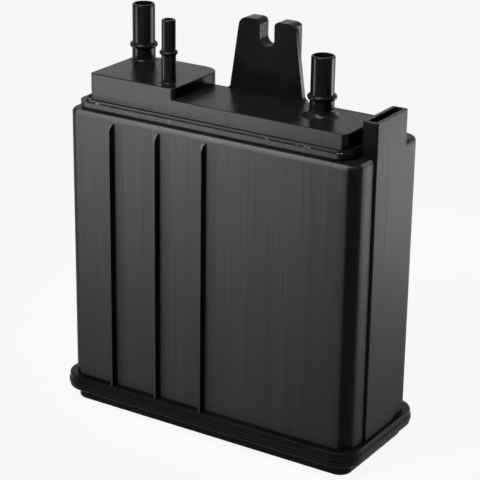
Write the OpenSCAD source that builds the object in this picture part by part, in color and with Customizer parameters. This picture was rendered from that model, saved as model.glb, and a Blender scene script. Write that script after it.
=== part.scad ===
// Charcoal canister of a fuel vapour system: a moulded box with two carbon chambers, closed by a
// welded top cover with three hose spigots and a slotted tab, and by a welded pan underneath.
// X runs along the canister, the finned face looks to -Y, and the pan stands on Z = 0.

/* [Bottom weld flange] */
// Length of the bottom weld flange along X
flange_l = 237.5; // [232:0.5:300]
// Width of the bottom weld flange along Y
flange_w = 98; // [94:1:140]
// Corner radius of the bottom weld flange
flange_r = 16; // [14:0.5:26]
// Height of the rim of the housing's half of the flange
housing_rim_h = 6.2; // [5:0.1:12]
// Height of the rim of the bottom cover's half of the flange
cover_rim_h = 4.5; // [4:0.1:12]
// Thickness of the flange plates and of their rims
rim_t = 2.8; // [2:0.1:4]
// How far the rounded weld collar stands out of the rims
collar_out = 0.7; // [0.4:0.1:2]
// Height of each half of the weld collar
collar_h = 1.8; // [1.4:0.1:4]
// Edge radius on the top of the housing's rim
rim_edge = 1.2; // [0.5:0.1:2]

/* [Bottom cover] */
// Distance from the edge of the weld flange to the side of the pan
pan_inset = 6.8; // [5:0.1:12]
// Depth of the pan below the flange
pan_h = 9.3; // [4:0.1:14]
// Radius along the bottom edge of the pan
pan_edge = 1.7; // [0.8:0.1:3.8]
// Radius along the lower edge of the cover's rim
cover_edge = 0.9; // [0.4:0.1:4.5]

/* [Housing] */
// Length of the box along X
body_l = 227.5; // [200:0.5:228]
// Width of the box along Y
body_w = 86.5; // [78:0.5:88]
// Radius of the box's upright corners
body_r = 11; // [10:0.2:16]
// Height of the box from the weld flange to the top of its shoulder
body_h = 197.5; // [120:0.5:260]
// Radius of the rounded shoulder
shoulder_r = 3; // [2:0.5:9]
// Wall thickness of all three mouldings
wall = 2.5; // [1.8:0.1:3.2]
// Thickness of the housing's roof
roof_t = 5; // [4:0.5:7]
// Place along X of the wall between the two chambers
partition_x = 36.9; // [10:0.1:50]
// Gap between that wall and the floor of the pan, where the two chambers join
passage_h = 14; // [8:0.5:16]

/* [Fins] */
// Number of fins on the front
fin_count = 3; // [1:1:3]
// Thickness of a fin
fin_t = 1.6; // [1.2:0.1:3]
// How far a fin stands out of the face
fin_h = 5.5; // [3:0.25:5.5]
// Radius at the foot of a fin
fin_foot = 1.2; // [0.5:0.1:2]
// Distance from the top of a fin to the top of the shoulder
fin_drop = 4.2; // [4:0.1:12]

/* [Upper weld flange] */
// Left end of the neck flange along X
neck_x0 = -111.5; // [-112.5:0.5:-106]
// Right end of the neck flange along X
neck_x1 = 103; // [101:0.5:103.5]
// Width of the neck flange along Y
neck_w = 73; // [70:0.5:74]
// Corner radius of the neck flange
neck_r = 11; // [8:0.5:14]
// Thickness of the neck flange
neck_t = 3.3; // [2.5:0.1:5]
// Height and depth of the groove below the neck flange
groove = 1; // [0.6:0.1:1.6]
// Thickness of the top cover's flange
cap_flange_t = 1.4; // [1.2:0.1:3]
// How far the top cover's flange stays back from the edge of the neck flange
cap_flange_inset = 0.6; // [0:0.1:1.5]
// How far it stays back from the left end of the neck flange
cap_flange_left = 4.6; // [0:0.1:6]
// Height of the lip along the edge of the top cover's flange
cap_lip_h = 0.8; // [0.5:0.1:1.5]
// Width of that lip
cap_lip_w = 1.2; // [1:0.1:2.5]

/* [Top cover] */
// Left end of the cover's box along X
cap_x0 = -102.5; // [-104:0.5:-100]
// Right end of the deck along X
cap_x1 = 98; // [90:0.5:99]
// Front of the cover along Y
cap_y0 = -31; // [-32:0.5:-26]
// Rear of the low deck along Y
deck_y1 = 18; // [12:0.5:22]
// Height of the low deck above the weld seam
deck_h = 11.7; // [9:0.1:20]
// Corner radius of the deck
deck_r = 5; // [3:0.5:8]
// Right side of the raised plenum box along X
box_x1 = -33.4; // [-45:0.1:-28]
// Rear of the plenum box along Y
box_y1 = 29; // [26:0.5:31]
// Height of the plenum box above the weld seam
box_h = 19.5; // [16:0.1:30]
// Corner radius at the front of the plenum box
box_front_r = 3.2; // [1.5:0.1:5]
// Corner radius at the rear left of the plenum box, beside the tank spigot
box_rear_r = 9; // [6:0.5:10]
// Corner radius at the rear right of the plenum box
box_side_r = 13; // [6:0.5:16]
// Edge radius along the top of the deck and of the box
cap_edge = 0.9; // [0.4:0.1:1.5]

/* [Spigots] */
// Outer diameter of the tank and fresh-air spigots
large_od = 15.8; // [14:0.1:17]
// Bore of the tank and fresh-air spigots
large_bore = 12.8; // [10:0.1:13]
// Bead diameter of the tank and fresh-air spigots
large_bead_d = 19.6; // [18.5:0.1:21]
// Outer diameter of those spigots below their bead
large_neck_od = 16.4; // [15.8:0.1:17.5]
// Outer diameter of the purge spigot
small_od = 9.5; // [8:0.1:11]
// Bore of the purge spigot
small_bore = 6.4; // [5:0.1:7]
// Bead diameter of the purge spigot
small_bead_d = 12.4; // [11.8:0.1:14]
// Outer diameter of the purge spigot below its bead
small_neck_od = 10; // [9.5:0.1:11]
// Height of the tank spigot above the plenum box
tank_h = 40; // [30:0.5:60]
// Height of its bead above the plenum box
tank_bead_z = 11; // [8:0.5:16]
// Distance of its axis from the left end and from the rear of the box
tank_inset = 10.3; // [9:0.1:14]
// Height of the purge spigot above the plenum box
purge_h = 43.3; // [30:0.1:60]
// Height of its bead above the plenum box
purge_bead_z = 20.8; // [10:0.1:24]
// Distance of its axis from the front and from the right side of the box
purge_inset = 11.7; // [9:0.1:16]
// Height of the fresh-air spigot above the deck
vent_h = 40.2; // [30:0.1:60]
// Height of its bead above the deck
vent_bead_z = 12.9; // [8:0.1:18]
// Distance of its axis from the right end of the deck
vent_inset_x = 34; // [18:0.5:44]
// Distance of its axis from the front of the deck
vent_inset_y = 27.7; // [14:0.1:34]
// Radius at the foot of the fresh-air spigot
vent_foot = 5; // [1:0.1:6]
// Radius at the foot of the purge spigot
purge_foot = 1.2; // [0.5:0.1:2.5]
// Radius round the tip of a spigot
tip_r = 0.9; // [0.4:0.1:1.2]

/* [Gate mark] */
// Place of the mould's gate mark on the deck along X
gate_x = 10; // [0:0.5:20]
// Place of the gate mark on the deck along Y
gate_y = -3; // [-12:0.5:4]
// Diameter of the gate mark
gate_d = 6; // [4:0.5:10]
// Depth of the ring round the gate mark
gate_depth = 0.5; // [0.3:0.1:1]

/* [Mounting tab] */
// Place of the tab's middle along X
tab_x = 9; // [-2:0.5:20]
// Width of the tab where it leaves the cover's flange
tab_foot_w = 60.5; // [50:0.5:70]
// Width of the tab at its top
tab_top_w = 43; // [36:0.5:48]
// Height of the tab above the low deck
tab_h = 50.5; // [40:0.5:70]
// Thickness of the tab's front plate
tab_t = 2.8; // [2:0.1:4]
// Full depth of the tab round its slot
tab_depth = 10; // [6:0.5:12]
// Width of the hollow stiffener behind the plate
tab_core_w = 41; // [34:0.5:43]
// Width of the slot
slot_w = 11.3; // [8:0.1:14]
// Depth of the slot from the top of the tab
slot_depth = 18; // [12:0.5:26]
// Radius where the tab's edges meet the level of the deck
tab_foot_r = 2.5; // [1:0.25:4]
// Radius on the outer corners of the prongs
prong_r = 6.5; // [2:0.25:8]
// Radius on the inner corners of the prongs
prong_inner_r = 3.6; // [1:0.1:5]

/* [Side pocket] */
// Inner side of the pocket along X
pocket_x0 = 104; // [103.8:0.1:106]
// How far the pocket's outer plate stands out of the end face
pad_out = 1.8; // [1:0.1:3]
// Front of the pocket along Y
pocket_y0 = -22.5; // [-28:0.5:-14]
// Width of the pocket along Y
pocket_w = 41; // [30:0.5:46]
// Height of the pocket above the shoulder
pocket_h = 24.3; // [14:0.1:40]
// Wall on the outer, front and rear sides of the pocket
pocket_wall = 2.4; // [1.8:0.1:3]
// Wall on the inner side of the pocket
pocket_inner_wall = 3; // [2:0.1:3.5]
// Radius of the pocket's outer upright corners
pocket_corner = 1.6; // [0.8:0.1:2]
// Radius of the upright corners inside the pocket
pocket_edge = 0.8; // [0.6:0.1:1.2]
// Radius along the top edge of the pocket
pocket_top_edge = 0.7; // [0.2:0.1:0.7]

/* [Filling] */
// Gap between the inner pieces and the walls round them
fill_gap = 0.5; // [0.3:0.1:1]
// Thickness of the slotted screens
grid_t = 2.5; // [2:0.1:4]
// Thickness of the filter pads
fleece_t = 4; // [2:0.5:8]
// Thickness of the pressure plates
plate_t = 3.5; // [2.5:0.1:5]
// Width of a slot in the screens and plates
vent_slot_w = 4.6; // [3:0.1:6]
// Bar left between two slots
vent_bar = 3.4; // [2:0.1:6]
// Number of slot rows across the width
slot_rows = 3; // [1:1:5]

/* [Springs] */
// Working length of a spring
spring_h = 17.5; // [14:0.5:24]
// Outer diameter of a spring
spring_d = 22; // [16:0.5:28]
// Diameter of the spring wire
wire_d = 1.7; // [1.2:0.1:2.2]
// Active turns between the two closed ends
spring_turns = 2.5; // [2:0.5:4]
// Height of the bosses that hold a spring's ends
boss_h = 3; // [2:0.5:4]
// Gap between a boss and the spring round it
boss_gap = 0.4; // [0.3:0.1:1]
// Distance of the main chamber's springs from the middle of their plate
spring_offset = 38; // [20:1:50]

/* [Hidden] */
$fn = 96;

// Spare length of a cut past the face that it leaves
over = 1;
// Depth by which a joined shape reaches into its neighbour
sink = 1;
// Smallest radius in an inner corner
least_r = 0.5;
// Clearance under a spring's end turns
spring_seat = 0.1;
// Sides of the wire, steps in a turn, and turns in each closed end
wire_sides = 8;
turn_steps = 20;
end_turns = 1;

// Levels from the ground up
weld_z = pan_h + cover_rim_h;
ledge_z = weld_z + housing_rim_h;
shoulder_z = ledge_z + body_h;
roof_z = shoulder_z - roof_t;
seam_z = shoulder_z + groove + neck_t;
cap_flange_z = seam_z + cap_flange_t;
deck_z = seam_z + deck_h;
box_z = seam_z + box_h;
tab_z = deck_z + tab_h;
pocket_z = shoulder_z + pocket_h;
pocket_floor_z = shoulder_z - wall;
floor_z = wall;
plate_z = floor_z + spring_h;
lower_fleece_z = plate_z + plate_t;
bed_z = lower_fleece_z + fleece_t;
grid_z = roof_z - grid_t;
upper_fleece_z = grid_z - fleece_t;
bed_h = upper_fleece_z - bed_z;

// Plan boxes, each as [left, front, right, rear]
function centred(l, w) = [-l / 2, -w / 2, l / 2, w / 2];
function grown(b, d) = [b[0] - d, b[1] - d, b[2] + d, b[3] + d];
function all_round(r) = [r, r, r, r];
function grown_r(r, d) = [for (v = r) max(v + d, least_r)];

flange_box = centred(flange_l, flange_w);
body_box = centred(body_l, body_w);
chamber_box = grown(body_box, -wall);
chamber_r = body_r - wall;
pan_box = grown(flange_box, -pan_inset);
pan_r = max(flange_r - pan_inset, wall + least_r);
neck_box = [neck_x0, -neck_w / 2, neck_x1, neck_w / 2];
cap_flange_box = [
    neck_box[0] + cap_flange_left, neck_box[1] + cap_flange_inset,
    neck_box[2] - cap_flange_inset, neck_box[3] - cap_flange_inset
];
cap_flange_r = neck_r - cap_flange_inset;
deck_box = [cap_x0, cap_y0, cap_x1, deck_y1];
deck_radii = [box_front_r, deck_r, deck_r, box_front_r];
plenum_box = [cap_x0, cap_y0, box_x1, box_y1];
plenum_radii = [box_front_r, box_front_r, box_side_r, box_rear_r];
pocket_box = [pocket_x0, pocket_y0, body_l / 2 + pad_out, pocket_y0 + pocket_w];
pocket_hole = [
    pocket_box[0] + pocket_inner_wall, pocket_box[1] + pocket_wall,
    pocket_box[2] - pocket_wall, pocket_box[3] - pocket_wall
];
pad_box = [body_l / 2 - wall, pocket_box[1], pocket_box[2], pocket_box[3]];
pad_r = min(pocket_corner, (pad_box[2] - pad_box[0] - least_r) / 2);

// The two chambers, with the gap that the inner pieces keep to the walls
main_box = [
    chamber_box[0] + fill_gap, chamber_box[1] + fill_gap,
    partition_x - wall / 2 - fill_gap, chamber_box[3] - fill_gap
];
vent_box = [
    partition_x + wall / 2 + fill_gap, chamber_box[1] + fill_gap,
    chamber_box[2] - fill_gap, chamber_box[3] - fill_gap
];
fill_r = chamber_r - fill_gap;
inner_r = 1;
main_radii = [fill_r, inner_r, inner_r, fill_r];
vent_radii = [inner_r, fill_r, fill_r, inner_r];

// Middles of the springs along X
main_middle = (main_box[0] + main_box[2]) / 2;
vent_middle = (vent_box[0] + vent_box[2]) / 2;
main_springs = [main_middle - spring_offset, main_middle + spring_offset];
vent_springs = [vent_middle];
boss_d = spring_d - 2 * wire_d - 2 * boss_gap;

// The tank spigot's foot runs out at the edges of the box
tank_foot = tank_inset - large_neck_od / 2;

// Axes of the spigots
tank_at = [cap_x0 + tank_inset, box_y1 - tank_inset];
purge_at = [box_x1 - purge_inset, cap_y0 + purge_inset];
vent_at = [cap_x1 - vent_inset_x, cap_y0 + vent_inset_y];

// Fins share the main chamber's length evenly
fin_pitch = (partition_x - chamber_box[0]) / (fin_count + 1);

shell_black = [0.13, 0.13, 0.135];
spigot_black = [0.11, 0.11, 0.115];
screen_grey = [0.33, 0.34, 0.35];
fleece_white = [0.86, 0.86, 0.83];
carbon_black = [0.07, 0.07, 0.07];
spring_steel = [0.62, 0.63, 0.65];

// Outline of a box in plan with a radius of its own at each corner, from the front left round
module round_outline(b, r) {
    polygon([
        [b[0] + r[0], b[1]], [b[2] - r[1], b[1]],
        [b[2], b[1] + r[1]], [b[2], b[3] - r[2]],
        [b[2] - r[2], b[3]], [b[0] + r[3], b[3]],
        [b[0], b[3] - r[3]], [b[0], b[1] + r[0]]
    ]);
    translate([b[0] + r[0], b[1] + r[0]]) circle(r[0]);
    translate([b[2] - r[1], b[1] + r[1]]) circle(r[1]);
    translate([b[2] - r[2], b[3] - r[2]]) circle(r[2]);
    translate([b[0] + r[3], b[3] - r[3]]) circle(r[3]);
}

// Section of what a quarter round takes off an edge at the origin
module round_waste(e) {
    difference() {
        translate([-e, -e]) square(e + over);
        translate([-e, -e]) circle(e);
    }
}

// A straight run of that waste along +X, with its outer side to +Y
module straight_waste(run, e) {
    rotate([90, 0, 90]) linear_extrude(run) round_waste(e);
}

// A quarter turn of that waste round a corner of radius r
module corner_waste(r, e) {
    rotate_extrude(angle = 90) translate([r, 0]) round_waste(e);
}

// Waste of a quarter round along the whole top edge of an outline
module edge_waste(b, r, e) {
    translate([b[0] + r[3], b[3], 0]) straight_waste(b[2] - r[2] - b[0] - r[3], e);
    translate([b[2] - r[1], b[1], 0]) rotate([0, 0, 180]) straight_waste(b[2] - r[1] - b[0] - r[0], e);
    translate([b[2], b[3] - r[2], 0]) rotate([0, 0, -90]) straight_waste(b[3] - r[2] - b[1] - r[1], e);
    translate([b[0], b[1] + r[0], 0]) rotate([0, 0, 90]) straight_waste(b[3] - r[3] - b[1] - r[0], e);
    translate([b[0] + r[0], b[1] + r[0], 0]) rotate([0, 0, 180]) corner_waste(r[0], e);
    translate([b[2] - r[1], b[1] + r[1], 0]) rotate([0, 0, 270]) corner_waste(r[1], e);
    translate([b[2] - r[2], b[3] - r[2], 0]) corner_waste(r[2], e);
    translate([b[0] + r[3], b[3] - r[3], 0]) rotate([0, 0, 90]) corner_waste(r[3], e);
}

// An upright slab on an outline, with rounded top and bottom edges where they are asked for
module slab(b, r, z0, z1, top = 0, bottom = 0) {
    difference() {
        translate([0, 0, z0]) linear_extrude(z1 - z0) round_outline(b, r);
        if (top > 0) translate([0, 0, z1]) edge_waste(b, r, top);
        if (bottom > 0) translate([0, 0, z0]) mirror([0, 0, 1]) edge_waste(b, r, bottom);
    }
}

// Half of the rounded collar that runs round the rims at the weld, above the weld
module weld_collar() {
    slab(grown(flange_box, collar_out), all_round(flange_r + collar_out), 0, collar_h, top = collar_out);
}

// Channel inside the rim that catches the flash of the weld, from the weld upwards
module flash_trap(depth) {
    translate([0, 0, -over]) linear_extrude(depth + over) difference() {
        round_outline(grown(flange_box, -rim_t), all_round(flange_r - rim_t));
        round_outline(body_box, all_round(body_r));
    }
}

// One fin: a web with rounded feet that runs out into the face at its top
module fin() {
    fin_z = shoulder_z - fin_drop - ledge_z + sink;
    root_y = -body_w / 2;
    intersection() {
        translate([0, root_y, ledge_z - sink]) linear_extrude(fin_z) difference() {
            translate([-fin_t / 2 - fin_foot, -fin_h]) square([fin_t + 2 * fin_foot, fin_h + sink]);
            for (side = [-1, 1]) translate([side * (fin_t / 2 + fin_foot), 0]) {
                translate([0, -fin_foot]) circle(fin_foot);
                translate([-fin_foot, -fin_h - over]) square([2 * fin_foot, fin_h - fin_foot + over]);
            }
        }
        translate([-fin_t - fin_foot, root_y, ledge_z - sink]) rotate([90, 0, 90])
            linear_extrude(2 * (fin_t + fin_foot)) {
                translate([-fin_h, 0]) square([fin_h + sink, fin_z - fin_h]);
                translate([0, fin_z - fin_h]) circle(fin_h);
            }
    }
}

// The pocket on the right end, with the pad that runs down from its outer plate
module pocket() {
    slab(pocket_box, all_round(pocket_corner), roof_z, pocket_z, top = min(pocket_top_edge, pocket_corner));
    slab(pad_box, all_round(pad_r), ledge_z - sink, pocket_z - sink);
}

// Way through the roof from the plenums to the chambers
module roof_opening(z0, z1) {
    slab(grown(deck_box, -wall), grown_r(deck_radii, -wall), z0, z1);
    slab(grown(plenum_box, -wall), grown_r(plenum_radii, -wall), z0, z1);
}

module housing() {
    color(shell_black) union() {
        difference() {
            union() {
                slab(body_box, all_round(body_r), weld_z, shoulder_z, top = shoulder_r);
                slab(flange_box, all_round(flange_r), weld_z, ledge_z, top = rim_edge);
                translate([0, 0, weld_z]) weld_collar();
                slab(grown(neck_box, -groove), all_round(neck_r - groove), roof_z, seam_z - sink);
                slab(neck_box, all_round(neck_r), seam_z - neck_t, seam_z);
                for (i = [1:fin_count]) translate([chamber_box[0] + i * fin_pitch, 0, 0]) fin();
                pocket();
            }
            slab(chamber_box, all_round(chamber_r), weld_z - over, roof_z);
            translate([0, 0, weld_z]) flash_trap(housing_rim_h - rim_t);
            roof_opening(roof_z - over, seam_z + over);
            slab(pocket_hole, all_round(pocket_edge), pocket_floor_z, pocket_z + over);
        }
        partition();
    }
}

// Wall between the chambers, from the passage in the pan up to the weld seam of the top cover
module partition() {
    z0 = floor_z + passage_h;
    x0 = partition_x - wall / 2;
    translate([x0, chamber_box[1] - sink, z0]) cube([wall, chamber_box[3] - chamber_box[1] + 2 * sink, roof_z - z0]);
    translate([x0, cap_y0 + wall - sink, roof_z - sink])
        cube([wall, deck_y1 - cap_y0 - 2 * wall + 2 * sink, seam_z - roof_z + sink]);
}

// Solid of one spigot, standing on Z = 0 with its foot sunk into the deck
module spigot(od, neck_od, bead_d, bead_z, h, foot) {
    r = od / 2;
    base_r = neck_od / 2;
    bead_r = (bead_d - od) / 2;
    rotate_extrude() {
        translate([0, -sink]) square([r, h - tip_r + sink]);
        translate([0, -sink]) square([base_r, bead_z + sink]);
        translate([0, -sink]) square([r - tip_r, h + sink]);
        translate([r - tip_r, h - tip_r]) circle(tip_r);
        difference() {
            translate([0, -sink]) square([base_r + foot, foot + sink]);
            translate([base_r + foot, foot]) circle(foot);
        }
        intersection() {
            translate([r, bead_z]) circle(bead_r);
            translate([0, bead_z - bead_r]) square([r + bead_r, 2 * bead_r]);
        }
    }
}

// Front view of the tab's slot, with its middle on X = 0, widened all round by a margin
module slot_outline(margin) {
    r = slot_w / 2 + margin;
    centre_z = tab_z - slot_depth + slot_w / 2;
    translate([0, centre_z]) circle(r);
    translate([-r, centre_z]) square([2 * r, tab_z - centre_z + over]);
}

// Front view of the tab without its slot: a tapered plate with rounded outer corners
module tab_outline() {
    foot_x = tab_foot_w / 2;
    top_x = tab_top_w / 2;
    lean = (foot_x - top_x) / (tab_z - cap_flange_z);
    slant = sqrt(1 + lean * lean);
    centre = [top_x + lean * prong_r - prong_r * slant, tab_z - prong_r];
    touch = centre + prong_r / slant * [1, lean];
    edge_x = top_x + lean * (tab_z - deck_z - tab_foot_r);
    flare = [edge_x + tab_foot_r * slant, deck_z + tab_foot_r];
    flare_touch = flare - tab_foot_r / slant * [1, lean];
    polygon([
        [-foot_x, cap_flange_z], [foot_x, cap_flange_z], touch, [centre[0], tab_z],
        [-centre[0], tab_z], [-touch[0], touch[1]]
    ]);
    for (side = [-1, 1]) translate([side * centre[0], centre[1]]) circle(prong_r);
    for (side = [0, 1]) mirror([side, 0]) difference() {
        polygon([[0, cap_flange_z], [flare[0], cap_flange_z], [flare[0], deck_z], flare_touch, [0, flare_touch[1]]]);
        translate(flare) circle(tab_foot_r);
    }
}

// Waste that rounds the inner corners of the two prongs
module prong_waste() {
    for (side = [-1, 1]) {
        corner_x = side * (slot_w / 2 + prong_inner_r);
        difference() {
            translate([min(side * slot_w / 2, corner_x), tab_z - prong_inner_r])
                square([prong_inner_r, prong_inner_r + over]);
            translate([corner_x, tab_z - prong_inner_r]) circle(prong_inner_r);
        }
    }
}

// A front view at the tab, drawn through from y0 to y1
module through_tab(y0, y1) {
    translate([tab_x, y1, 0]) rotate([90, 0, 0]) linear_extrude(y1 - y0) children();
}

// Mounting tab: a slotted plate behind the deck with a hollow stiffener on its back
module tab() {
    y0 = deck_y1;
    half = tab_core_w / 2;
    difference() {
        union() {
            through_tab(y0 - sink, y0 + tab_t) tab_outline();
            through_tab(y0, y0 + tab_depth) intersection() {
                tab_outline();
                translate([-half, cap_flange_z]) square([2 * half, tab_z - cap_flange_z]);
            }
        }
        through_tab(y0 - 2 * sink, y0 + tab_depth + over) {
            slot_outline(0);
            prong_waste();
        }
        through_tab(y0 + tab_t, y0 + tab_depth + over) difference() {
            translate([-half + wall, cap_flange_z]) square([2 * (half - wall), tab_z - wall - cap_flange_z]);
            slot_outline(wall);
        }
    }
}

module top_cover() {
    color(spigot_black) union() {
        difference() {
            union() {
                slab(cap_flange_box, all_round(cap_flange_r), seam_z, cap_flange_z);
                translate([0, 0, cap_flange_z]) linear_extrude(cap_lip_h) difference() {
                    round_outline(cap_flange_box, all_round(cap_flange_r));
                    round_outline(grown(cap_flange_box, -cap_lip_w), all_round(cap_flange_r - cap_lip_w));
                }
                slab(deck_box, deck_radii, seam_z, deck_z, top = cap_edge);
                slab(plenum_box, plenum_radii, seam_z, box_z, top = cap_edge);
                translate([tank_at[0], tank_at[1], box_z])
                    spigot(large_od, large_neck_od, large_bead_d, tank_bead_z, tank_h, tank_foot);
                translate([purge_at[0], purge_at[1], box_z])
                    spigot(small_od, small_neck_od, small_bead_d, purge_bead_z, purge_h, purge_foot);
                translate([vent_at[0], vent_at[1], deck_z])
                    spigot(large_od, large_neck_od, large_bead_d, vent_bead_z, vent_h, vent_foot);
                tab();
            }
            slab(grown(deck_box, -wall), grown_r(deck_radii, -wall), seam_z - over, deck_z - wall);
            slab(grown(plenum_box, -wall), grown_r(plenum_radii, -wall), seam_z - over, box_z - wall);
            gate_mark();
            spigot_bore(tank_at, large_bore, box_z, tank_h);
            spigot_bore(purge_at, small_bore, box_z, purge_h);
            spigot_bore(vent_at, large_bore, deck_z, vent_h);
        }
        translate([partition_x - wall / 2, cap_y0 + wall - sink, seam_z])
            cube([wall, deck_y1 - cap_y0 - 2 * wall + 2 * sink, deck_h - wall + sink]);
    }
}

// Shallow ring on the deck round the spot where the mould was filled
module gate_mark() {
    translate([gate_x, gate_y, deck_z]) rotate_extrude() translate([gate_d / 2 - gate_depth, 0]) circle(gate_depth);
}

// Bore of a spigot, from its tip into the plenum below it
module spigot_bore(at, bore, z, h) {
    translate([at[0], at[1], z - wall - over]) cylinder(d = bore, h = h + wall + 2 * over);
}

module bottom_cover() {
    color(shell_black) union() {
        difference() {
            union() {
                slab(flange_box, all_round(flange_r), pan_h, weld_z, bottom = cover_edge);
                translate([0, 0, weld_z]) mirror([0, 0, 1]) weld_collar();
                slab(pan_box, all_round(pan_r), 0, pan_h + sink, bottom = min(pan_edge, pan_r));
            }
            slab(grown(pan_box, -wall), all_round(pan_r - wall), floor_z, weld_z + over);
            slab(chamber_box, all_round(chamber_r), pan_h + rim_t, weld_z + over);
            translate([0, 0, weld_z]) mirror([0, 0, 1]) flash_trap(cover_rim_h - rim_t);
        }
        for (x = concat(main_springs, vent_springs)) translate([x, 0, floor_z - sink])
            cylinder(d = boss_d, h = boss_h + sink);
    }
}

// Rows of slots on a plan box, kept clear of round spots on the middle line
module slot_pattern(b, keep_x) {
    pitch = vent_slot_w + vent_bar;
    margin = 2 * vent_bar + vent_slot_w;
    columns = floor((b[2] - b[0] - 2 * margin + vent_bar) / pitch);
    first = (b[0] + b[2] - columns * pitch + vent_bar) / 2;
    row_h = (b[3] - b[1] - 2 * margin + vent_bar) / slot_rows;
    difference() {
        for (c = [0:columns - 1], k = [0:slot_rows - 1])
            translate([first + c * pitch, b[1] + margin + k * row_h]) square([vent_slot_w, row_h - vent_bar]);
        for (x = keep_x) translate([x - spring_d / 2 - vent_bar, -spring_d / 2 - vent_bar])
            square(spring_d + 2 * vent_bar);
    }
}

// Slotted screen on a chamber's plan, up against the roof
module screen(b, r) {
    color(screen_grey) translate([0, 0, grid_z]) linear_extrude(grid_t) difference() {
        round_outline(b, r);
        slot_pattern(b, []);
    }
}

// Slotted pressure plate with a boss below for each spring
module pressure_plate(b, r, springs) {
    color(screen_grey) {
        translate([0, 0, plate_z]) linear_extrude(plate_t) difference() {
            round_outline(b, r);
            slot_pattern(b, springs);
        }
        for (x = springs) translate([x, 0, plate_z - boss_h]) cylinder(d = boss_d, h = boss_h + sink);
    }
}

module main_grid() { screen(main_box, main_radii); }
module vent_grid() { screen(vent_box, vent_radii); }

module main_upper_fleece() { color(fleece_white) slab(main_box, main_radii, upper_fleece_z, grid_z); }
module vent_upper_fleece() { color(fleece_white) slab(vent_box, vent_radii, upper_fleece_z, grid_z); }

module main_carbon_bed() { color(carbon_black) slab(main_box, main_radii, bed_z, bed_z + bed_h); }
module vent_carbon_bed() { color(carbon_black) slab(vent_box, vent_radii, bed_z, bed_z + bed_h); }

module main_lower_fleece() { color(fleece_white) slab(main_box, main_radii, lower_fleece_z, bed_z); }
module vent_lower_fleece() { color(fleece_white) slab(vent_box, vent_radii, lower_fleece_z, bed_z); }

module main_plate() { pressure_plate(main_box, main_radii, main_springs); }
module vent_plate() { pressure_plate(vent_box, vent_radii, vent_springs); }

// Height of the spring's wire after a number of turns: closed ends and even turns between them
total_turns = spring_turns + 2 * end_turns;
rise = spring_h - 2 * spring_seat - wire_d;
end_pitch = wire_d + spring_seat;
mid_pitch = (rise - 2 * end_turns * end_pitch) / spring_turns;
function coil_z(t) =
    t < end_turns ? t * end_pitch
    : t < end_turns + spring_turns ? end_turns * end_pitch + (t - end_turns) * mid_pitch
    : rise - (total_turns - t) * end_pitch;

// One coil spring: a round wire carried along its helix, standing on the floor of the pan
module spring(x) {
    steps = total_turns * turn_steps;
    coil_r = (spring_d - wire_d) / 2;
    points = [
        for (i = [0:steps], k = [0:wire_sides - 1])
            let (
                a = 360 * i / turn_steps,
                w = 360 * k / wire_sides,
                r = coil_r + wire_d / 2 * cos(w)
            )
            [r * cos(a), r * sin(a), coil_z(i / turn_steps) + wire_d / 2 * (1 + sin(w))]
    ];
    sides = [
        for (i = [0:steps - 1], k = [0:wire_sides - 1])
            let (a = i * wire_sides + k, b = i * wire_sides + (k + 1) % wire_sides)
            [a, b, b + wire_sides, a + wire_sides]
    ];
    start = [for (k = [wire_sides - 1:-1:0]) k];
    finish = [for (k = [0:wire_sides - 1]) steps * wire_sides + k];
    color(spring_steel) translate([x, 0, floor_z + spring_seat])
        polyhedron(points, concat(sides, [start, finish]));
}

module main_spring_left() { spring(main_springs[0]); }
module main_spring_right() { spring(main_springs[1]); }
module vent_spring() { spring(vent_springs[0]); }

housing();
top_cover();
bottom_cover();
main_grid();
vent_grid();
main_upper_fleece();
vent_upper_fleece();
main_carbon_bed();
vent_carbon_bed();
main_lower_fleece();
vent_lower_fleece();
main_plate();
vent_plate();
main_spring_left();
main_spring_right();
vent_spring();
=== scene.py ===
# %% [markdown]
# # A charcoal canister in black plastic
# A charcoal canister catches fuel vapour from a car's tank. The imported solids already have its
# shapes and sizes, so this lesson loads them as a fixed frame, gives each one the finish of the
# real material, adds the fine traces that welding and moulding leave, and sets up a plain studio.

import bpy
import numpy as np
from mathutils import Matrix, Vector


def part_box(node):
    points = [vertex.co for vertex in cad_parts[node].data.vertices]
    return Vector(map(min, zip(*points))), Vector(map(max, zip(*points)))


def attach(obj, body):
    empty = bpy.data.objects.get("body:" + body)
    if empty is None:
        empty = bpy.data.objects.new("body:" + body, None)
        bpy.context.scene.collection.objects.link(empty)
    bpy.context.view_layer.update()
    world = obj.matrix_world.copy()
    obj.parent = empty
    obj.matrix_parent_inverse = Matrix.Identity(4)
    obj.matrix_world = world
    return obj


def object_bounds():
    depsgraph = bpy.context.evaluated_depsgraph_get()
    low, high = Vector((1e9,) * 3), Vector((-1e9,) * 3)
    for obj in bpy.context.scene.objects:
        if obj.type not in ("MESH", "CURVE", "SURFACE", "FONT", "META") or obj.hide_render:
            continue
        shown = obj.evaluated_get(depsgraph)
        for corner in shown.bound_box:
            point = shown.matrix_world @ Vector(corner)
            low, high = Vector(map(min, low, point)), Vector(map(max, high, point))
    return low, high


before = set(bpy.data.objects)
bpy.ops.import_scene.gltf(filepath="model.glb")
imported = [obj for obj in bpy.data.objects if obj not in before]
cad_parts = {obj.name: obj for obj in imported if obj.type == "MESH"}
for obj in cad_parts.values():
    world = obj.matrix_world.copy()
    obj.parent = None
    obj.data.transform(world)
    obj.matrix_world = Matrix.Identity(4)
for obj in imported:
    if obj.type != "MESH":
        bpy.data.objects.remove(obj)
cad_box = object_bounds()
MM = 0.001
overall = [round(high - low, 4) for low, high in zip(*cad_box)]
print("loaded", len(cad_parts), "solids, overall", overall)

# %% [markdown]
# ## Small helpers for materials
# A procedural material is a net of nodes. It could be wired by hand in the shader editor. Writing
# each node as one call, with its inputs by name, keeps the net readable and easy to repeat: an
# input that is given a socket is linked, and any other value is set.


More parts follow.
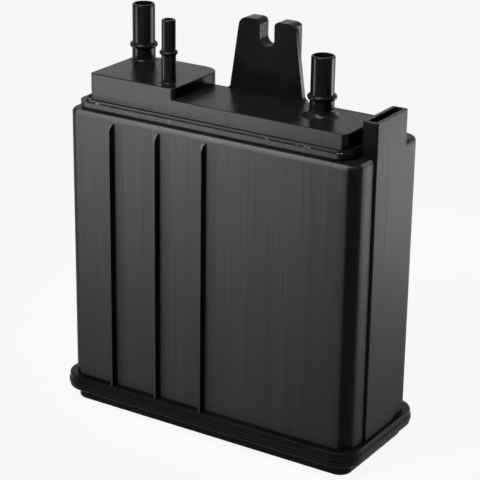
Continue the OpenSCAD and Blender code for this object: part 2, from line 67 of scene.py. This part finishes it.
# %% Helpers for node trees
def add_node(tree, kind, inputs=None, **settings):
    """Adds one node to a tree, with its settings, and links or sets the inputs that are given."""
    made = tree.nodes.new(kind)
    for name, value in settings.items():
        setattr(made, name, value)
    for name, value in (inputs or {}).items():
        if isinstance(value, bpy.types.NodeSocket):
            tree.links.new(value, made.inputs[name])
        else:
            made.inputs[name].default_value = value
    return made


def start_material(name):
    """A new material, with its tree, its shader and the object coordinates for its patterns."""
    material = bpy.data.materials.new(name)
    material.use_nodes = True
    tree = material.node_tree
    place = add_node(tree, "ShaderNodeTexCoord").outputs["Object"]
    return material, tree, tree.nodes["Principled BSDF"], place


def noise(tree, place, scale, stretch=(1, 1, 1), detail=3.0, roughness=0.5):
    """Noise with so many cells to the metre, stretched along the axes whose factor is below 1."""
    mapped = add_node(tree, "ShaderNodeMapping", {"Vector": place, "Scale": stretch})
    inputs = {"Vector": mapped.outputs["Vector"], "Scale": scale,
              "Detail": detail, "Roughness": roughness}
    return add_node(tree, "ShaderNodeTexNoise", inputs).outputs["Fac"]


def remap(tree, value, low, high, from_low=0.3, from_high=0.7):
    """Carries a value from one range to another, clamped at both ends. Where no range to start
    from is given, it is the one that most of a noise lies in."""
    inputs = {"Value": value, "From Min": from_low, "From Max": from_high,
              "To Min": low, "To Max": high}
    return add_node(tree, "ShaderNodeMapRange", inputs).outputs["Result"]


def step(tree, value, low, high):
    """0 below one value, 1 above another, and a straight rise between them."""
    return remap(tree, value, 0, 1, low, high)


def combine(tree, operation, a, b):
    """One sum, product or other operation on two values."""
    return add_node(tree, "ShaderNodeMath", {0: a, 1: b}, operation=operation).outputs["Value"]


def between(tree, factor, a, b):
    """A value between two, by a factor from 0 to 1."""
    inputs = {"Factor": factor, "A": a, "B": b}
    return add_node(tree, "ShaderNodeMix", inputs).outputs["Result"]


def tint(tree, factor, dark, light):
    """A colour between two, by a factor from 0 to 1."""
    inputs = {"Factor": factor, "A": (*dark, 1), "B": (*light, 1)}
    return add_node(tree, "ShaderNodeMix", inputs, data_type="RGBA").outputs["Result"]


def grey(tree, value):
    """A neutral colour of that brightness."""
    inputs = {"Red": value, "Green": value, "Blue": value}
    return add_node(tree, "ShaderNodeCombineColor", inputs).outputs["Color"]


def coat(tree, shader, colour, roughness):
    """Links a colour and a roughness to the shader."""
    tree.links.new(colour, shader.inputs["Base Color"])
    tree.links.new(roughness, shader.inputs["Roughness"])


def relief(tree, shader, height, depth):
    """Presses a height pattern, as deep as given in metres, into the shader's normals."""
    bump = add_node(tree, "ShaderNodeBump", {"Height": height, "Distance": depth, "Strength": 1})
    tree.links.new(bump.outputs["Normal"], shader.inputs["Normal"])


def dress(material, *names):
    """Puts a material into the slot of each named solid."""
    for name in names:
        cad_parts[name].material_slots[0].material = material
    print(material.name, "on", ", ".join(names))


# %% [markdown]
# ## Which faces are dull walls
# In the photograph the big outer walls are grey with fine upright lines, while the tab, the
# spigots and the flanges, some of which face the same way, are smooth and black. Rubbing along the
# steel as the mouldings are drawn off along Z is a likely cause. A mask says which is which: a
# wall is a spot that lies far enough out and whose normal, seen from above, looks straight out
# along X or Y. The rounded corners between the walls fall outside it and stay black, which is
# partly painted shade. Painting by hand would also work, but a mask from place and normal needs no
# map of the surface.

# %% Mask of the drawn walls
END_WALL_X = 109.5 * MM
FACE_WALL_Y = 28.7 * MM
REACH_SOFTNESS = 0.4 * MM
FOOT_SOFTNESS = 1.0 * MM
# Only a nearly full outward share counts as wall, so the rounded corners between walls stay black:
# partly the plain black plastic, partly painted shade.
WALL_SHARE_AND_CORNER_SHADE = (0.93, 0.985)
LEAST_LENGTH = 0.15


def split(tree, vector):
    """The three parts of a vector."""
    return add_node(tree, "ShaderNodeSeparateXYZ", {"Vector": vector}).outputs


def drawn_walls(tree, place, foot):
    """Mask of the outer walls above a height, their foot: 1 there and 0 elsewhere. For each axis,
    the outward share of it in the level part of the normal is stepped, and multiplied by a step at
    the wall's reach. The length of that level part is returned too: it is 1 on an upright face."""
    at = split(tree, place)
    normal = add_node(tree, "ShaderNodeTexCoord").outputs["Normal"]
    level = add_node(tree, "ShaderNodeVectorMath", {0: normal, 1: (1, 1, 0)},
                     operation="MULTIPLY").outputs["Vector"]
    length = add_node(tree, "ShaderNodeVectorMath", {0: level},
                      operation="LENGTH").outputs["Value"]
    above = step(tree, at["Z"], foot, foot + FOOT_SOFTNESS)
    walls = []
    for axis, reach in (("X", END_WALL_X), ("Y", FACE_WALL_Y)):
        side = combine(tree, "SIGN", at[axis], 0)
        share = combine(tree, "MULTIPLY", split(tree, level)[axis], side)
        share = combine(tree, "DIVIDE", share, combine(tree, "MAXIMUM", length, LEAST_LENGTH))
        out = step(tree, combine(tree, "ABSOLUTE", at[axis], 0), reach, reach + REACH_SOFTNESS)
        wall = combine(tree, "MULTIPLY", step(tree, share, *WALL_SHARE_AND_CORNER_SHADE), out)
        walls.append(combine(tree, "MULTIPLY", wall, above))
    return combine(tree, "MAXIMUM", *walls), length


def upright_lines(tree, place):
    """Fine upright lines, as a noise that is drawn out along Z."""
    return noise(tree, place, scale=700, stretch=(1, 1, 0.012), detail=5, roughness=0.6)


# %% [markdown]
# ## Housing and bottom cover: drawn black nylon
# The walls have fine upright lines. A picture of scratches could be laid on, but a noise that is
# stretched along Z needs no unwrapping. It changes the tone and the gloss and gives a slight
# relief. The tone is the same from top to bottom: the fade in the photograph is left to the lamps,
# so that the part looks right in other light too. Short pale ticks just below the shoulder are
# painted highlights, in place of the glints at the tops of the fins. A second, even noise is the
# grain of the glass fibres in the plastic.

# %% Finish of the housing
BLACK_SHEEN = 0.06
wall_foot = 20.0 * MM
wall_tone, plain_tone = (0.032, 0.048), (0.002, 0.004)
wall_roughness, plain_roughness = (0.55, 0.68), (0.27, 0.36)
streak_share, grain_share, wall_relief = 0.7, 0.35, 0.09 * MM
highlight_tick_tone, highlight_tick_range, highlight_tick_heights = 0.02, (0.60, 0.75), (199.0 * MM, 213.0 * MM)

housing_plastic, tree, shader, place = start_material("housing_plastic_drawn")
walls, _ = drawn_walls(tree, place, wall_foot)
streaks = combine(tree, "MULTIPLY", upright_lines(tree, place), streak_share)
bands = noise(tree, place, scale=90, stretch=(1, 1, 0.03), detail=3)
lines = combine(tree, "ADD", streaks, combine(tree, "MULTIPLY", bands, 1 - streak_share))
clouds = noise(tree, place, scale=28, detail=4)
# Painted highlights: short pale ticks on the walls just below the shoulder, in place of the glints
# at the tops of the fins.
painted_highlight_ticks = noise(tree, place, scale=420, stretch=(1, 1, 0.1), detail=2)
painted_highlight_ticks = remap(tree, painted_highlight_ticks, 0, highlight_tick_tone, *highlight_tick_range)
near_shoulder = step(tree, split(tree, place)["Z"], *highlight_tick_heights)
painted_highlight_ticks = combine(tree, "MULTIPLY", painted_highlight_ticks, near_shoulder)
rubbed = combine(tree, "ADD", remap(tree, lines, *wall_tone), painted_highlight_ticks)
tone = between(tree, walls, remap(tree, clouds, *plain_tone), rubbed)
dullness = between(tree, walls, remap(tree, clouds, *plain_roughness),
                   remap(tree, lines, *wall_roughness))
coat(tree, shader, grey(tree, tone), dullness)
shader.inputs["Specular IOR Level"].default_value = BLACK_SHEEN
grain = combine(tree, "MULTIPLY", noise(tree, place, scale=5200, detail=2), grain_share)
relief(tree, shader, combine(tree, "ADD", lines, grain), wall_relief)
dress(housing_plastic, "housing", "bottom_cover")

# %% [markdown]
# ## Top cover: smoother black nylon
# The cover is smoother than the housing: its deck mirrors the spigots and the tab softly, and the
# spigots, which have to seal against a hose connector, are the smoothest of all. Each could have a
# material of its own, split face by face. One height mask on Object Z in a single material takes
# the gloss from the deck to the sleek spigots without an edge.

# %% Finish of the top cover
# Below this height the foot of the cover's flange stays black: a thin strip of painted shade along
# the seam.
wall_foot = 222.4 * MM
upright_range = (0.80, 0.98)
wall_tone, plain_tone = (0.032, 0.040), (0.0015, 0.0028)
wall_roughness, smudge_roughness = (0.44, 0.56), (-0.03, 0.04)
deck_roughness, spigot_roughness, gloss_heights = 0.27, 0.20, (232.5 * MM, 246.0 * MM)
grain_share, cover_relief = 0.2, 0.05 * MM

cover_plastic, tree, shader, place = start_material("cover_plastic_satin")
walls, uprightness = drawn_walls(tree, place, wall_foot)
walls = combine(tree, "MULTIPLY", walls, step(tree, uprightness, *upright_range))
smudges = noise(tree, place, scale=45, detail=4, roughness=0.6)
lines = upright_lines(tree, place)
tone = between(tree, walls, remap(tree, smudges, *plain_tone), remap(tree, lines, *wall_tone))
height = split(tree, place)["Z"]
sleek = remap(tree, height, deck_roughness, spigot_roughness, *gloss_heights)
sleek = combine(tree, "ADD", sleek, remap(tree, smudges, *smudge_roughness))
dullness = between(tree, walls, sleek, remap(tree, lines, *wall_roughness))
coat(tree, shader, grey(tree, tone), dullness)
shader.inputs["Specular IOR Level"].default_value = BLACK_SHEEN
peel = noise(tree, place, scale=420, detail=3)
grain = combine(tree, "MULTIPLY", noise(tree, place, scale=4200, detail=2), grain_share)
relief(tree, shader, combine(tree, "ADD", peel, grain), cover_relief)
dress(cover_plastic, "top_cover")

# %% [markdown]
# ## What lies inside
# Screens, fleece pads, carbon and springs are closed in, but someone who opens the model meets
# them. Screens are grey nylon, the pads are needled fibres, the carbon is packed granules and the
# springs are drawn wire. Pictures of each could be laid on, but a noise, or a cell pattern for the
# granules, needs no image and no unwrapping.

# %% Finish of the screens and plates
screen_dark, screen_light = (0.085, 0.085, 0.09), (0.115, 0.115, 0.12)
screen_roughness, screen_relief = (0.50, 0.62), 0.08 * MM
screen_plastic, tree, shader, place = start_material("screen_plastic_matte")
grain = noise(tree, place, scale=1500, detail=4)
coat(tree, shader, tint(tree, remap(tree, grain, 0, 1), screen_dark, screen_light),
     remap(tree, grain, *screen_roughness))
relief(tree, shader, grain, screen_relief)
dress(screen_plastic, "main_grid", "vent_grid", "main_plate", "vent_plate")

# %% Finish of the fleece pads
fleece_dark, fleece_light = (0.62, 0.62, 0.58), (0.84, 0.84, 0.81)
fleece_roughness, fleece_relief = (0.85, 0.98), 0.6 * MM
fleece, tree, shader, place = start_material("fleece_needled")
fibres = noise(tree, place, scale=900, stretch=(1, 0.25, 1), detail=6, roughness=0.7)
coat(tree, shader, tint(tree, remap(tree, fibres, 0, 1), fleece_dark, fleece_light),
     remap(tree, fibres, *fleece_roughness))
relief(tree, shader, fibres, fleece_relief)
dress(fleece, "main_upper_fleece", "vent_upper_fleece", "main_lower_fleece", "vent_lower_fleece")

# %% Finish of the carbon beds
carbon_dark, carbon_light = (0.012, 0.012, 0.012), (0.035, 0.035, 0.036)
carbon_roughness, granules_per_metre, granule_relief = (0.55, 0.85), 480.0, 0.9 * MM
carbon, tree, shader, place = start_material("carbon_granules")
cells = add_node(tree, "ShaderNodeTexVoronoi", {"Vector": place, "Scale": granules_per_metre})
tone = add_node(tree, "ShaderNodeSeparateColor", {"Color": cells.outputs["Color"]}).outputs["Red"]
coat(tree, shader, tint(tree, tone, carbon_dark, carbon_light),
     remap(tree, tone, *carbon_roughness, 0, 1))
relief(tree, shader, combine(tree, "MULTIPLY", cells.outputs["Distance"], -1.0), granule_relief)
dress(carbon, "main_carbon_bed", "vent_carbon_bed")

# %% Finish of the springs
steel_dark, steel_light = (0.48, 0.49, 0.51), (0.62, 0.63, 0.65)
steel_roughness, steel_relief = (0.22, 0.38), 0.03 * MM
spring_steel, tree, shader, place = start_material("spring_steel_drawn")
shader.inputs["Metallic"].default_value = 1.0
draw_marks = noise(tree, place, scale=2600, stretch=(1, 1, 3), detail=4)
coat(tree, shader, tint(tree, remap(tree, draw_marks, 0, 1), steel_dark, steel_light),
     remap(tree, draw_marks, *steel_roughness))
relief(tree, shader, draw_marks, steel_relief)
dress(spring_steel, "main_spring_left", "main_spring_right", "vent_spring")

# %% [markdown]
# ## Flash of the upper weld
# The cover is pressed onto the molten edge of the housing, and a little plastic wells up along the
# seam. That flash is a thin bead carried round the outline of the cover's flange. A curve with a
# round bevel would give an even bead. A grid with one parameter along the seam and one round the
# bead also takes slow waves for its uneven flow and short swellings where it tore. The bead gets a
# finish of its own, black with pale bits, and the pale bits are painted highlights: glints along
# the seam.


# %% Surfaces on a grid
def add_piece(name, points, faces, material):
    """A smooth mesh from points and faces, as a piece in a slot that rides on the body."""
    mesh = bpy.data.meshes.new(name)
    mesh.from_pydata(points, [], faces)
    mesh.polygons.foreach_set("use_smooth", np.ones(len(mesh.polygons), bool))
    mesh.materials.append(material)
    mesh.update()
    piece = bpy.data.objects.new(name, mesh)
    bpy.context.scene.collection.objects.link(piece)
    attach(piece, "root")
    print(name, len(mesh.polygons), "faces")


def ring_piece(name, points, material):
    """A closed ring from an array of points, rows along it by columns round it. Each face joins a
    point to the next row and the next column, and the last of each joins the first, so no edge is
    open."""
    number = np.arange(points.shape[0] * points.shape[1]).reshape(points.shape[:2])
    next_row, next_column = np.roll(number, -1, 0), np.roll(number, -1, 1)
    faces = np.stack([number, next_row, np.roll(next_row, -1, 1), next_column], -1)
    add_piece(name, points.reshape(-1, 3), faces.reshape(-1, 4).tolist(), material)


def rounded_loop(low, high, radius, count):
    """Points and outward directions at even steps along a rounded rectangle, counterclockwise, and
    the length up to each. A point is the nearest one on the inner rectangle plus the corner radius
    along its direction."""
    width, depth = high[0] - low[0] - 2 * radius, high[1] - low[1] - 2 * radius
    quarter = np.pi / 2 * radius
    lengths = np.cumsum([0, width, quarter, depth, quarter, width, quarter, depth, quarter])
    along = np.linspace(0, lengths[-1], count, endpoint=False)
    turn = np.interp(along, lengths, np.pi / 2 * np.array([-1, -1, 0, 0, 1, 1, 2, 2, 3]))
    x = np.interp(along, lengths, np.array([0, 1, 1, 1, 1, 0, 0, 0, 0]) * width)
    y = np.interp(along, lengths, np.array([0, 0, 0, 1, 1, 1, 1, 0, 0]) * depth)
    outward = np.stack([np.cos(turn), np.sin(turn)], 1)
    inner = np.stack([x + low[0] + radius, y + low[1] + radius], 1)
    return inner + radius * outward, outward, along


# %% Finish of the flash
# The pale bits on the black bead are painted highlights: glints along the seam.
glint_range = (0.60, 0.68)
flash_black, flash_glint_grey = 0.004, 0.25
flash_roughness, flash_relief = (0.35, 0.65), 0.1 * MM
flash_plastic, tree, shader, place = start_material("flash_plastic_painted_glints")
glint_noise = noise(tree, place, scale=210, stretch=(1, 1, 0.2), detail=4, roughness=0.7)
painted_glints = step(tree, glint_noise, *glint_range)
coat(tree, shader, grey(tree, between(tree, painted_glints, flash_black, flash_glint_grey)),
     remap(tree, painted_glints, *flash_roughness, 0, 1))
shader.inputs["Specular IOR Level"].default_value = BLACK_SHEEN
relief(tree, shader, noise(tree, place, scale=2400, detail=3), flash_relief)
print(flash_plastic.name, "from", flash_black, "to", flash_glint_grey)

# %% Bead of the flash
flange_low, flange_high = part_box("top_cover")
flange_corner_r = 10.4 * MM
flash_r = 0.32 * MM
seam_steps, bead_sides = 900, 12
flow_waves = ((0.22, 7.1 * MM, 0.0), (0.16, 2.9 * MM, 1.3), (0.10, 15.7 * MM, 4.0))
tear_length, tear_spacing, tear_phase = 2.1 * MM, 11.3 * MM, 2.0
tear_size, tear_threshold = 0.9, 0.55


def weld_bead(foot_z):
    """Rings of points along the seam, resting on a height. A ring's radius is the flash's radius
    times its flow: 1 plus a sine wave along the seam for each row of flow_waves, with its size,
    length and phase, plus a swelling wherever the product of two more waves passes a threshold.
    On the ring, the reach is the radius times the cosine, and the lift is the radius times one
    plus the sine."""
    loop, outward, along = rounded_loop(flange_low, flange_high, flange_corner_r, seam_steps)
    flow = np.ones(seam_steps)
    for size, length, phase in flow_waves:
        flow = flow + size * np.sin(along / length + phase)
    tearing = np.sin(along / tear_length) * np.sin(along / tear_spacing + tear_phase)
    flow = flow + tear_size * np.clip(tearing - tear_threshold, 0, None)
    around = np.linspace(0, 2 * np.pi, bead_sides, endpoint=False)
    reach = flash_r * flow[:, None] * np.cos(around)
    lift = flash_r * flow[:, None] * (1 + np.sin(around))
    level = loop[:, None, :] + outward[:, None, :] * reach[..., None]
    return np.concatenate([level, (foot_z + lift)[..., None]], -1)


ring_piece("upper_weld_flash", weld_bead(flange_low.z), flash_plastic)

# %% [markdown]
# ## The line on the cover's front wall
# Near the right end of the cover's front wall the photograph shows one fine dark upright line.
# Such a line is left where two parts of a mould meet. It is made as a low ridge, half sunk in the
# wall: a flat oval carried straight up, which narrows towards both ends and closes there in a
# point. A line in the material's colour would be easier, but the ridge is still there when the
# model is printed.


# %% Closed bars
def bar_piece(name, rings, poles, material):
    """A closed bar from an array of rings, from its foot up, and a pole at either end. Four-sided
    faces join each ring to the next, and triangles join the first and the last ring to their
    poles."""
    rows, columns = rings.shape[:2]
    number = np.arange(rows * columns).reshape(rows, columns)
    turned = np.roll(number, -1, 1)
    sides = np.stack([number[:-1], turned[:-1], turned[1:], number[1:]], -1).reshape(-1, 4)
    foot = np.stack([np.full(columns, rows * columns), turned[0], number[0]], -1)
    head = np.stack([np.full(columns, rows * columns + 1), number[-1], turned[-1]], -1)
    points = np.concatenate([rings.reshape(-1, 3), poles])
    add_piece(name, points, sides.tolist() + foot.tolist() + head.tolist(), material)


# %% Parting line
parting_x, cover_front_y = 80.3 * MM, -31.0 * MM
parting_low, parting_high = 224.6 * MM, 231.2 * MM
parting_half_width, parting_proud = 0.25 * MM, 0.12 * MM
parting_rings, parting_sides = 25, 12


def parting_ridge():
    """Rings of a flat oval from the foot of the line to its head. With t from -1 at the foot to 1
    at the head, both half widths of the oval are multiplied by the fourth root of 1 less t
    squared, so that it stays nearly full along the line and closes at both ends."""
    t = np.linspace(-1, 1, parting_rings + 2)[1:-1, None]
    swell = (1 - t ** 2) ** 0.25
    turn = np.linspace(0, 2 * np.pi, parting_sides, endpoint=False)[None, :]
    middle_z, half_height = (parting_low + parting_high) / 2, (parting_high - parting_low) / 2
    return np.stack([parting_x + parting_half_width * swell * np.cos(turn),
                     cover_front_y + parting_proud * swell * np.sin(turn),
                     middle_z + half_height * t + 0 * turn], -1)


parting_poles = [(parting_x, cover_front_y, z) for z in (parting_low, parting_high)]
bar_piece("cover_parting_line", parting_ridge(), parting_poles, cover_plastic)

# %% [markdown]
# ## The camera
# The camera stands where the photograph was taken, above and to the right of the finned face. It
# could be placed by eye. Here its place, direction and lens were worked out from the photograph,
# so that the same points of the canister fall close to the same places in the picture.

# %% Camera
image_px = 480
focal_px = 1805.82
sensor_mm = 36.0
far_clip = 50.0
camera_at = (0.61645, -0.97856, 0.57911)
azimuth, elevation, roll = np.radians((32.175, 21.138, 0.80))
back = np.array([np.sin(azimuth) * np.cos(elevation),
                 -np.cos(azimuth) * np.cos(elevation),
                 np.sin(elevation)])
level_right = np.array([np.cos(azimuth), np.sin(azimuth), 0.0])
level_up = np.cross(back, level_right)
right = level_right * np.cos(roll) + level_up * np.sin(roll)
up = level_up * np.cos(roll) - level_right * np.sin(roll)
axes = np.stack([right, up, back], 1)
camera_data = bpy.data.cameras.new("camera")
camera_data.sensor_width = sensor_mm
camera_data.lens = focal_px / image_px * sensor_mm
camera_data.clip_end = far_clip
camera = bpy.data.objects.new("camera", camera_data)
camera.matrix_world = Matrix.Translation(camera_at) @ Matrix(axes.tolist()).to_4x4()
bpy.context.scene.collection.objects.link(camera)
bpy.context.scene.camera = camera
print("lens", round(camera_data.lens, 1), "mm")

# %% [markdown]
# ## Floor and world
# The photograph has a white ground. A white floor and a white world would give it, but they would
# also throw light at the walls from every side and wash out their fade. So the floor's paint is
# mid grey and the world is a weak fill for light on its way, and both are white, or nearly so,
# where the camera or a reflection sees them.


# %% Floor
def seen_directly(tree):
    """1 for what the camera sees straight, in a mirror or through glass, and 0 for light that is
    on its way."""
    rays = add_node(tree, "ShaderNodeLightPath").outputs
    mirrored = combine(tree, "MAXIMUM", rays["Is Glossy Ray"], rays["Is Transmission Ray"])
    return combine(tree, "MAXIMUM", rays["Is Camera Ray"], mirrored)


WHITE = (1, 1, 1, 1)
floor_half = 8.0
floor_drop = 0.3 * MM
paint_dark, paint_light = (0.5, 0.5, 0.5), (0.53, 0.53, 0.53)
paint_roughness = 0.9
white_share = 0.92
floor_sides = ((-1, -1), (1, -1), (1, 1), (-1, 1))
floor_corners = [(x * floor_half, y * floor_half, -floor_drop) for x, y in floor_sides]
floor_mesh = bpy.data.meshes.new("floor")
floor_mesh.from_pydata(floor_corners, [], [(0, 1, 2, 3)])
floor = bpy.data.objects.new("floor", floor_mesh)
bpy.context.scene.collection.objects.link(floor)
floor_paint, tree, shader, place = start_material("floor_paint")
mottle = noise(tree, place, scale=6, detail=3)
tree.links.new(tint(tree, mottle, paint_dark, paint_light), shader.inputs["Base Color"])
shader.inputs["Roughness"].default_value = paint_roughness
shader.inputs["Specular IOR Level"].default_value = 0.0
glow = add_node(tree, "ShaderNodeEmission", {"Color": WHITE, "Strength": 1.0})
white_part = combine(tree, "MULTIPLY", seen_directly(tree), white_share)
mixed = add_node(tree, "ShaderNodeMixShader",
                 {0: white_part, 1: shader.outputs[0], 2: glow.outputs[0]})
tree.links.new(mixed.outputs[0], tree.nodes["Material Output"].inputs["Surface"])
floor_mesh.materials.append(floor_paint)
print("floor", 2 * floor_half, "m across")

# %% World
fill_strength = 0.06
world = bpy.data.worlds.new("studio")
world.use_nodes = True
tree = world.node_tree
tree.nodes.clear()
fill = add_node(tree, "ShaderNodeBackground", {"Color": WHITE, "Strength": fill_strength})
white = add_node(tree, "ShaderNodeBackground", {"Color": WHITE, "Strength": 1.0})
both = add_node(tree, "ShaderNodeMixShader",
                {0: seen_directly(tree), 1: fill.outputs[0], 2: white.outputs[0]})
add_node(tree, "ShaderNodeOutputWorld", {"Surface": both.outputs[0]})
bpy.context.scene.world = world
print("world with a fill of", fill_strength)

# %% [markdown]
# ## Lamps
# Four soft lamps give the light, each with a beam narrower than a bare lamp's, as from a softbox
# with a grid. Bare lamps would be simpler, but then the walls would hardly fade. The first stands
# steeply above the front and is aimed over its top, so that the front fades downwards. The second,
# on the left, and the third, to the right and behind, stand below the level of the deck, so that
# the deck can't mirror them: one draws highlights on the spigots, and the other lights the end.
# The last picks out the rounded shoulder from overhead. Their first places and strengths came from
# a fit to how bright the photograph is across the big walls. The ones below were then found by
# comparing renders with it, and by looking from other sides for patches that clip to white.


# %% Lamps
def softbox(name, at, target, width, height, watts, beam):
    """A rectangular soft lamp at a point, looking at a target, with its beam in degrees."""
    data = bpy.data.lights.new(name, "AREA")
    data.shape = "RECTANGLE"
    data.size, data.size_y = width, height
    data.energy = watts
    data.spread = np.radians(beam)
    lamp = bpy.data.objects.new(name, data)
    look = Vector(target) - Vector(at)
    turn = look.to_track_quat("-Z", "Y").to_matrix().to_4x4()
    lamp.matrix_world = Matrix.Translation(at) @ turn
    bpy.context.scene.collection.objects.link(lamp)
    print("lamp", name, watts, "W")


softbox("front_high", at=(-0.10, -0.25, 0.54), target=(-0.08, -0.045, 0.34),
        width=0.30, height=0.30, watts=1.15, beam=60)
softbox("front_left", at=(-0.48, -0.37, 0.115), target=(-0.05, 0, 0.30),
        width=0.14, height=0.21, watts=0.24, beam=60)
softbox("right_rear", at=(0.325, 0.285, 0.125), target=(0.09, 0, 0.26),
        width=0.24, height=0.20, watts=0.68, beam=90)
softbox("overhead", at=(0.05, -0.076, 0.42), target=(0.05, -0.030, 0.21),
        width=0.20, height=0.05, watts=0.095, beam=40)

# %% [markdown]
# ## Output
# Standard view transform keeps the written colours.

# %% View transform
bpy.context.scene.view_settings.view_transform = "Standard"
